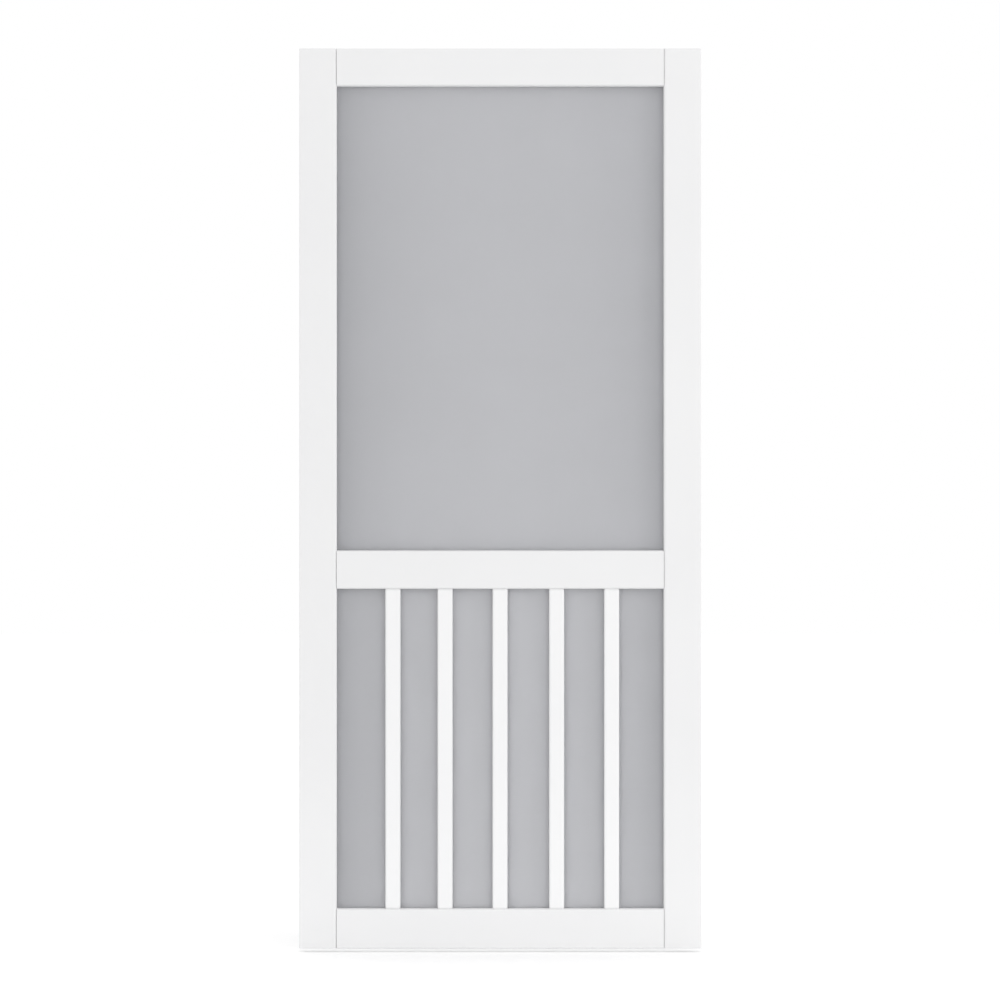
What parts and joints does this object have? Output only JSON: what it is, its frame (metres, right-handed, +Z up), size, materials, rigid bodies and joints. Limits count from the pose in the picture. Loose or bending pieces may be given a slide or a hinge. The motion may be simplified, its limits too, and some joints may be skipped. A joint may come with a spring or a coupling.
{
  "type": "vinyl screen door",
  "caption": "White hollow vinyl screen door leaf with a tall upper screen, a middle rail, and upright bars in front of the lower screen.",
  "frame": {"origin": "middle of the hinge edge, at half the leaf's height and half its thickness", "axes": "+X across the leaf from the hinge edge to the latch edge, the front with the bars faces -Y, +Z up"},
  "size_m": [0.908, 0.0254, 2.032],
  "materials": {
    "vinyl": "satin extruded white PVC",
    "moulded_vinyl": "satin moulded white PVC",
    "mesh": "woven vinyl-coated glass yarn, grey",
    "spline": "soft ribbed vinyl, grey"
  },
  "bodies": {
    "root": {"hinge_stile": "vinyl", "latch_stile": "vinyl", "top_rail": "vinyl", "middle_rail": "vinyl", "bottom_rail": "vinyl", "bar_1": "vinyl", "bar_2": "vinyl", "bar_3": "vinyl", "bar_4": "vinyl", "bar_5": "vinyl", "hinge_stile_bottom_cap": "moulded_vinyl", "hinge_stile_top_cap": "moulded_vinyl", "latch_stile_bottom_cap": "moulded_vinyl", "latch_stile_top_cap": "moulded_vinyl", "bar_1_bottom_plug": "moulded_vinyl", "bar_1_top_plug": "moulded_vinyl", "bar_2_bottom_plug": "moulded_vinyl", "bar_2_top_plug": "moulded_vinyl", "bar_3_bottom_plug": "moulded_vinyl", "bar_3_top_plug": "moulded_vinyl", "bar_4_bottom_plug": "moulded_vinyl", "bar_4_top_plug": "moulded_vinyl", "bar_5_bottom_plug": "moulded_vinyl", "bar_5_top_plug": "moulded_vinyl", "upper_screen": "mesh", "lower_screen": "mesh", "upper_spline_hinge": "spline", "upper_spline_latch": "spline", "upper_spline_bottom": "spline", "upper_spline_top": "spline", "lower_spline_hinge": "spline", "lower_spline_latch": "spline", "lower_spline_bottom": "spline", "lower_spline_top": "spline"}
  },
  "joints": []
}
